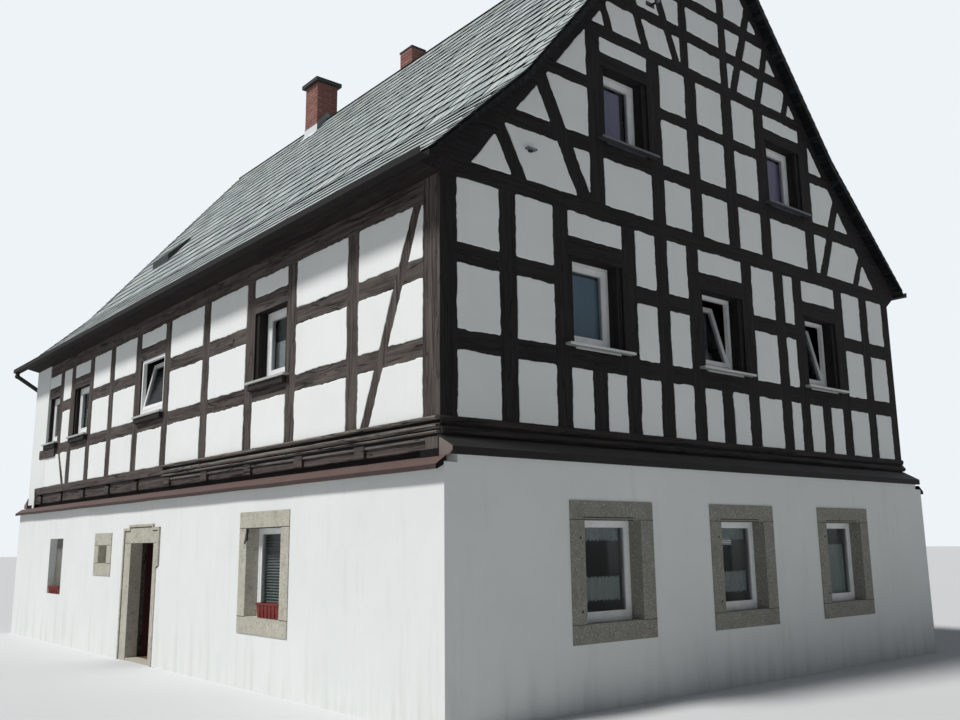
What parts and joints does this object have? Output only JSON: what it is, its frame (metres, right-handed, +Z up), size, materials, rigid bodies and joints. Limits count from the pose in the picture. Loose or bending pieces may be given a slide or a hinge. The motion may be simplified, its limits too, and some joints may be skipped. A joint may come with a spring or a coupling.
{
  "type": "half-timbered house",
  "caption": "Half-timbered house with a plastered stone ground floor, a moulded sill band, a timber gable, a steep slated roof and an entrance door that opens inwards.",
  "frame": {"origin": "middle of the bounding box's base, on the ground", "axes": "+Y from the front gable to the back along the ridge, +X to the right of the front gable, +Z up"},
  "size_m": [10.47, 15.51, 12.6],
  "materials": {
    "plaster_wall": "limewashed rough plaster on stone",
    "granite": "tooled granite, dull",
    "floor_boards": "worn floor boards",
    "gable_apron_metal": "dark weathered sheet metal",
    "red_apron": "reddish-brown painted sheet",
    "dark_timber": "near-black stained timber",
    "grey_timber": "weathered grey-brown timber",
    "panel_plaster": "smooth white plaster",
    "light_metal": "thin light sheet metal",
    "white_frame": "white window frames",
    "window_glass": "clear window glass",
    "slate": "natural slate in courses",
    "ridge_metal": "dark weathered metal",
    "brick": "fired brick with light joints",
    "red_door": "dark red painted wood"
  },
  "bodies": {
    "house": {"front_wall_ground": "plaster_wall", "back_wall_ground": "plaster_wall", "left_wall_near_door": "plaster_wall", "left_wall_far_of_door": "plaster_wall", "left_wall_over_door": "plaster_wall", "right_wall_ground": "plaster_wall", "door_reveals": "plaster_wall", "window_lintels_and_sills": "granite", "window_jambs": "granite", "door_lintel_and_threshold": "granite", "door_jambs": "granite", "ground_floor": "floor_boards", "door_floor": "floor_boards", "upper_floor": "floor_boards", "attic_floor": "floor_boards", "gable_aprons": "gable_apron_metal", "eaves_aprons": "red_apron", "bearing_plates": "dark_timber", "gable_sills": "dark_timber", "eaves_sills": "grey_timber", "sill_mouldings": "grey_timber", "beam_ends": "grey_timber", "beam_fillers": "grey_timber", "gable_posts_and_studs": "dark_timber", "gable_rails": "dark_timber", "gable_panels": "panel_plaster", "eaves_posts": "grey_timber", "eaves_rails": "grey_timber", "eaves_panels": "panel_plaster", "braces": "grey_timber", "plastered_piers": "plaster_wall", "gable_plates": "dark_timber", "eaves_plates": "grey_timber", "window_linings": "dark_timber", "window_sills": "light_metal", "frame_stiles": "white_frame", "frame_rails": "white_frame", "sash_stiles": "white_frame", "sash_rails": "white_frame", "window_glass": "window_glass", "flower_boxes": "red_door", "roof_left": "slate", "roof_right": "slate", "roof_kicks": "slate", "ridge_beam": "dark_timber", "ridge_cap": "ridge_metal", "gable_rafters": "dark_timber", "sprockets": "dark_timber", "eaves_boxing": "dark_timber", "gutters": "ridge_metal", "downpipes": "ridge_metal", "roof_hatch": "ridge_metal", "chimneys": "brick", "chimney_caps": "ridge_metal", "door_hooks": "ridge_metal"},
    "door": {"door_leaf": "red_door", "door_hardware": "ridge_metal"}
  },
  "joints": [
    {"name": "door_hinge", "type": "hinge", "parent": "house", "child": "door", "pos_m": [-4.648, 0.677, 0.95], "axis": [0, 0, 1], "range_deg": [-90, 0]}
  ]
}
